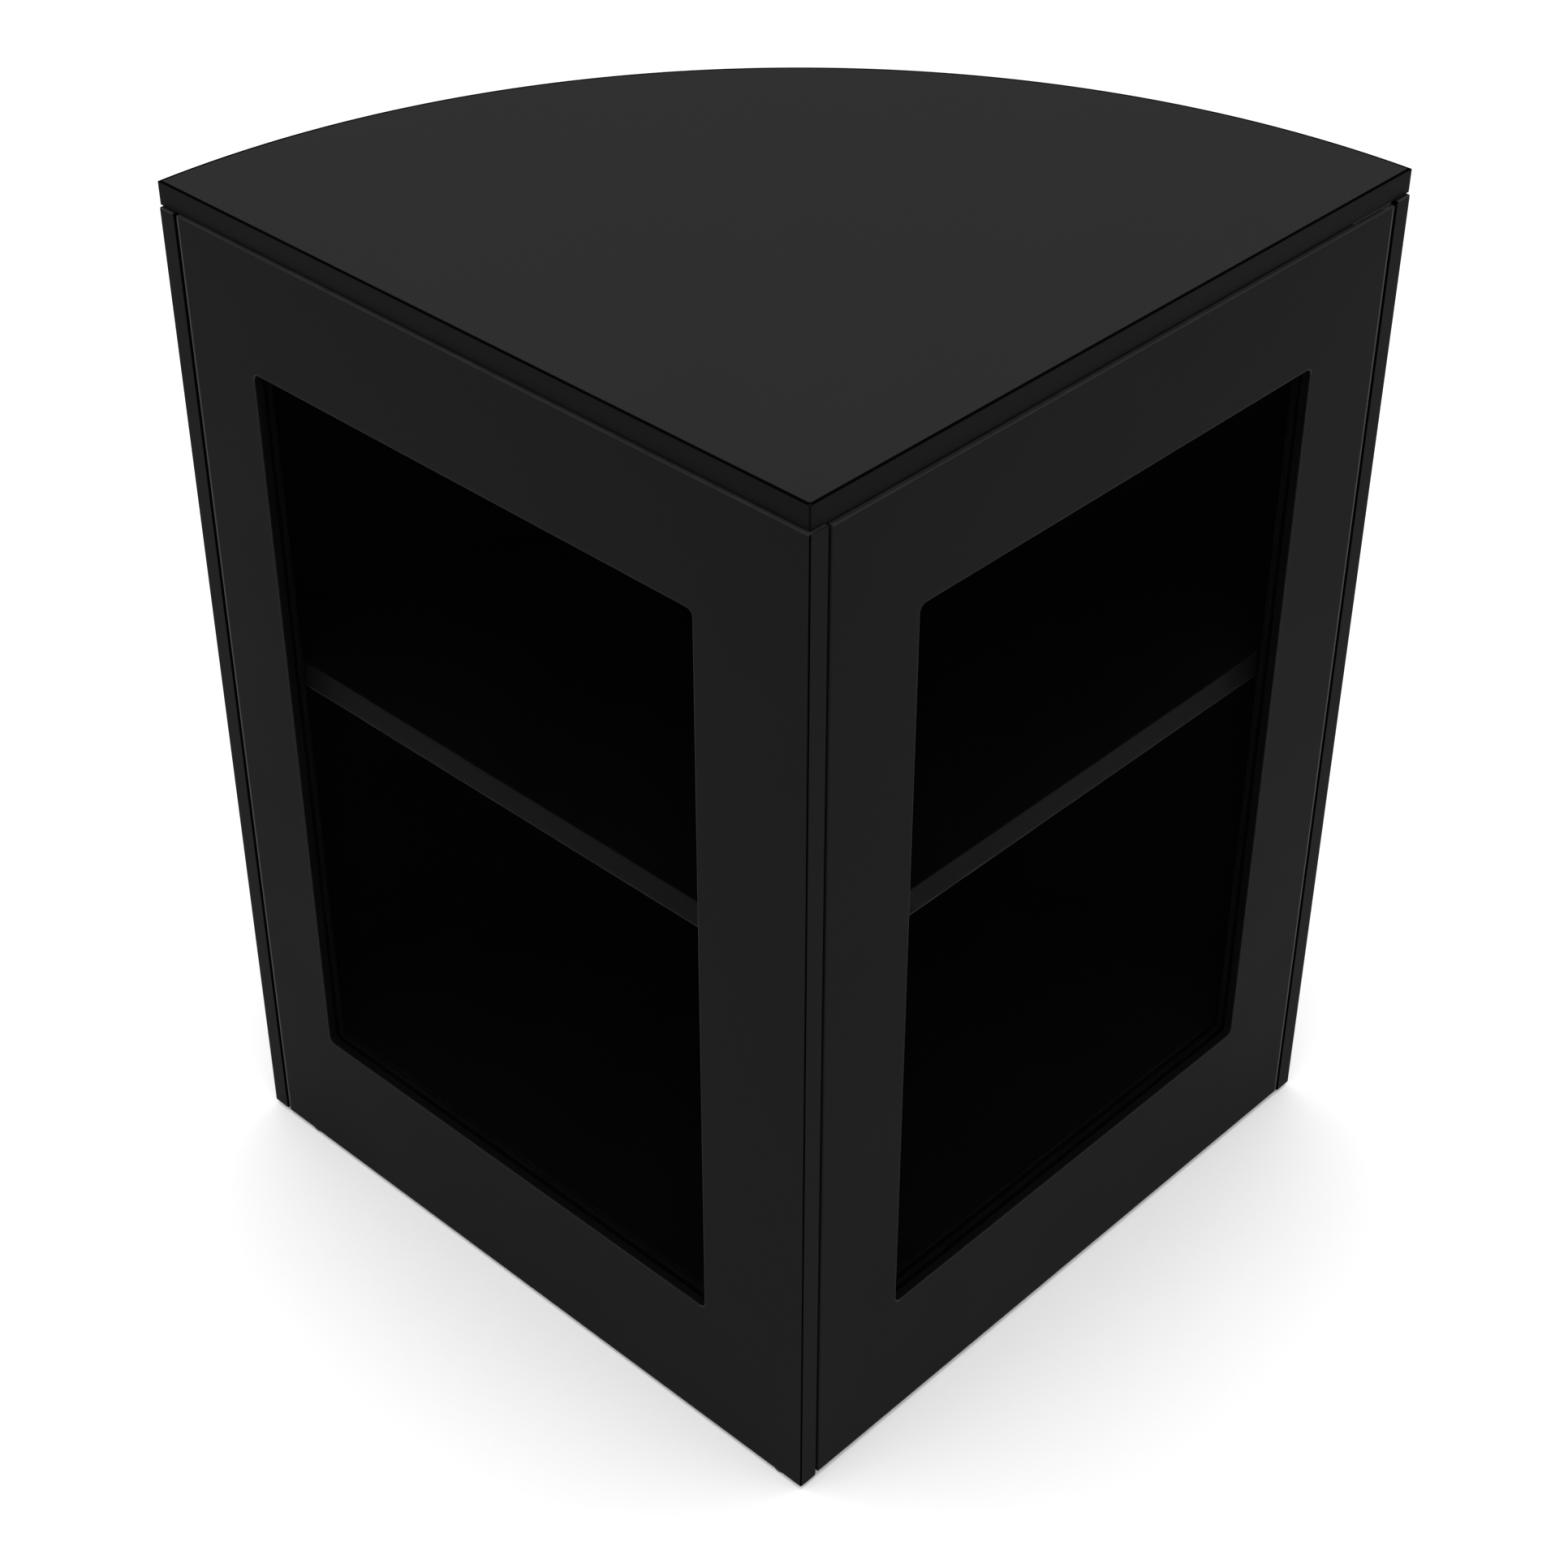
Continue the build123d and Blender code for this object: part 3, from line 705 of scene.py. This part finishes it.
def pivot_pin(name, node, up):
    """Turned pin with a rounded tip."""
    low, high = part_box(node)
    radius = (high.x - low.x) / 2
    long = high.z - low.z
    foot = (low + high) / 2
    foot.z = low.z if up else high.z
    profile = [
        (radius, 0),
        (radius, long - pin_tip),
        (0.93 * radius, long - pin_nose),
        (0.75 * radius, long),
    ]
    shell = Shell()
    shell.lathe(foot, (0, 0, 1 if up else -1), profile, black_zinc, cap=black_zinc)
    return shell.build(name, "carcass", [node])


pivot_pin("lower_pin", "bottom_pivot_pin", True)
pivot_pin("upper_pin", "top_pivot_pin", False)


def pivot_bush(name, node, pin_node, up):
    """Flanged bush, hollow for its pin."""
    low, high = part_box(node)
    pin_low, pin_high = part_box(pin_node)
    flange = (high.x - low.x) / 2
    bore = (pin_high.x - pin_low.x) / 2 + running_clearance
    long = high.z - low.z
    foot = (low + high) / 2
    foot.z = low.z if up else high.z
    profile = [
        (bore + bush_lead, 0),
        (flange - bush_soft, 0),
        (flange, bush_soft),
        (flange, bush_collar),
        (bush_barrel, bush_collar),
        (bush_barrel, long - bush_taper),
        (bush_barrel - bush_taper, long),
        (bore, long),
        (bore, bush_lead),
    ]
    axis = (0, 0, 1 if up else -1)
    shell = Shell()
    loops = [ring_of(foot, axis, r, h, bush_sides) for r, h in profile]
    shell.skin(loops, nylon, closed=True)
    return shell.build(name, "door", [node])


pivot_bush("lower_bush", "bottom_pivot_bush", "bottom_pivot_pin", True)
pivot_bush("upper_bush", "top_pivot_bush", "top_pivot_pin", False)

# ---- touch latch ---------------------------------------------------------------------------------
latch_low, latch_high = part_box("latch_housing")
plunger_low, plunger_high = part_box("latch_plunger")
plunger_radius = (plunger_high.z - plunger_low.z) / 2
plunger_x = (plunger_low.x + plunger_high.x) / 2
plunger_z = (plunger_low.z + plunger_high.z) / 2
ear = 3 * MM
ear_arris = 0.5 * MM
barrel_half = 8 * MM
barrel_round = 4 * MM
mouth_arris = 0.6 * MM
end_arris = 0.8 * MM
rib_count = 6
rib_crowding = 0.95
groove_depth = 0.7 * MM
groove_profile = (0, 0), (0.2, groove_depth), (0.5, groove_depth), (0.7, 0)
bore_lead = 0.5 * MM
bore_spare = 4 * MM
bore_radius = plunger_radius + running_clearance

latch = Shell()
ear_levels = [(0, latch_low.x)]
ear_levels += [(side, latch_low.x + ear - face) for side, face in round_over(ear_arris)]
ear_loops = []
for inset, level in ear_levels:
    corners = grown((latch_low.y, latch_low.z), (latch_high.y, latch_high.z), -inset)
    ear_loops.append([Vector((level, y, z)) for y, z in rounded_rectangle(*corners, ear - inset)])
latch.skin(ear_loops, moulded, caps=(moulded, moulded))

# the barrel, from the back of its bore out through the mouth and along its ribbed outside
rib_step = (latch_high.y - latch_low.y) / (3 * rib_count)
barrel_sections = [(mouth_arris, latch_low.y), (0, latch_low.y + mouth_arris)]
for rib in range(rib_count):
    rib_start = latch_low.y + (2 * rib_count + rib) * rib_step * rib_crowding
    for along, inset in groove_profile:
        barrel_sections.append((inset, rib_start + along * rib_step))
barrel_sections.append((0, latch_high.y - end_arris))
barrel_sections.append((end_arris, latch_high.y))
bore_sections = [
    (bore_radius, plunger_high.y + bore_spare),
    (bore_radius, latch_low.y + bore_lead),
    (bore_radius + bore_lead, latch_low.y),
]
barrel_loops = []
for radius, y in bore_sections:
    barrel_loops.append([Vector((x, y, z)) for x, z in circle_to_match((plunger_x, plunger_z), radius)])
for inset, y in barrel_sections:
    low_corner = latch_low.x, plunger_z - barrel_half + inset
    high_corner = latch_high.x - inset, plunger_z + barrel_half - inset
    outline = rounded_rectangle(low_corner, high_corner, barrel_round - inset)
    barrel_loops.append([Vector((x, y, z)) for x, z in outline])
latch.skin(barrel_loops, moulded, caps=(moulded, moulded))
latch.build("latch_body", "carcass", ["latch_housing"])

magnet_low, magnet_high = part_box("latch_magnet")
magnet_radius = (magnet_high.z - magnet_low.z) / 2
cup = magnet_high.y - magnet_low.y
cup_lead = 0.1 * MM
cup_clearance = 0.06 * MM
plunger_tip = Vector((plunger_x, plunger_low.y, plunger_z))
plunger_long = plunger_high.y - plunger_low.y
plunger_arris = 0.4 * MM
plunger_taper = 0.6 * MM
rod_profile = [
    (magnet_radius, cup),
    (magnet_radius, cup_lead),
    (magnet_radius + cup_lead, 0),
    (plunger_radius - plunger_arris, 0),
    (plunger_radius, plunger_arris),
    (plunger_radius, plunger_long - plunger_taper),
    (plunger_radius - plunger_taper, plunger_long),
]
plunger = Shell()
plunger.lathe(plunger_tip, (0, 1, 0), rod_profile, nylon, cap=nylon)
plunger.build("plunger_rod", "plunger", ["latch_plunger"])

magnet_arris = 0.3 * MM
disc_profile = [
    (magnet_radius - magnet_arris, 0),
    (magnet_radius - cup_clearance, 0.2 * MM),
    (magnet_radius - cup_clearance, cup),
]
magnet = Shell()
magnet.lathe(plunger_tip, (0, 1, 0), disc_profile, nickel, cap=nickel)
magnet.build("magnet_disc", "plunger", ["latch_magnet"])

# ---- CAD nodes that keep their shape -------------------------------------------------------------
kept_looks = {
    "left_glass": clear_glass,
    "door_glass": clear_glass,
    "plinth_rail": satin_board,
    "top_stretcher": satin_board,
    "deck_batten": stained_wood,
    "top_batten": stained_wood,
    "corner_battens": stained_wood,
    "deck_blocks": stained_wood,
    "top_blocks": stained_wood,
    "top_dowels": stained_wood,
}
for node, look in kept_looks.items():
    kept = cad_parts[node]
    kept.data.materials.clear()
    kept.data.materials.append(look)

# ---- floor, light and camera ---------------------------------------------------------------------
floor_half = 12.0
floor_glow = 0.06
studio_white = (1.0, 1.0, 1.0, 1.0)
studio_strength = 1.10

floor_look = finish("floor_paper", grey(0.86), grey(0.88), (0.80, 0.90), 2, 300, 0.2 * MM, 0.1)
floor_mesh = bpy.data.meshes.new("floor")
floor_corners = [(x * floor_half, y * floor_half, 0) for x, y in ((-1, -1), (1, -1), (1, 1), (-1, 1))]
floor_mesh.from_pydata(floor_corners, [], [(0, 1, 2, 3)])
floor_shader = floor_look.node_tree.nodes["Principled BSDF"]
floor_shader.inputs["Emission Color"].default_value = studio_white
floor_shader.inputs["Emission Strength"].default_value = floor_glow
floor_mesh.materials.append(floor_look)
floor = bpy.data.objects.new("floor", floor_mesh)
floor.location.z = cad_bounds[0].z
bpy.context.collection.objects.link(floor)

world = bpy.data.worlds.new("studio")
bpy.context.scene.world = world
world.use_nodes = True
world.node_tree.nodes["Background"].inputs["Color"].default_value = studio_white
world.node_tree.nodes["Background"].inputs["Strength"].default_value = studio_strength


def softbox(name, place, aim, size, watts):
    """Large square area light."""
    light = bpy.data.lights.new(name, "AREA")
    light.shape = "SQUARE"
    light.size = size
    light.energy = watts
    holder = bpy.data.objects.new(name, light)
    holder.location = place
    holder.rotation_mode = "QUATERNION"
    holder.rotation_quaternion = (Vector(aim) - Vector(place)).to_track_quat("-Z", "Y")
    bpy.context.collection.objects.link(holder)


softbox("overhead", place=(-0.6, -0.4, 3.6), aim=(0, 0, 0.4), size=3.0, watts=60)

camera_place = Vector((-1.5664, -1.4706, 1.9826))
camera_azimuth = math.radians(43.228)
camera_tilt = math.radians(-36.934)
camera_roll = math.radians(0.222)
camera_lens = 70.1
camera_sensor = 36.0
level_ahead = Vector((math.cos(camera_azimuth), math.sin(camera_azimuth), 0))
ahead = level_ahead * math.cos(camera_tilt) + Vector((0, 0, math.sin(camera_tilt)))
level_right = Vector((math.sin(camera_azimuth), -math.cos(camera_azimuth), 0))
level_up = level_right.cross(ahead)
right = level_right * math.cos(camera_roll) + level_up * math.sin(camera_roll)
up = right.cross(ahead)
camera_data = bpy.data.cameras.new("camera")
camera_data.lens = camera_lens
camera_data.sensor_width = camera_sensor
camera = bpy.data.objects.new("camera", camera_data)
camera.matrix_world = Matrix.Translation(camera_place) @ Matrix((right, up, -ahead)).transposed().to_4x4()
bpy.context.collection.objects.link(camera)
bpy.context.scene.camera = camera
bpy.context.scene.view_settings.view_transform = "Standard"
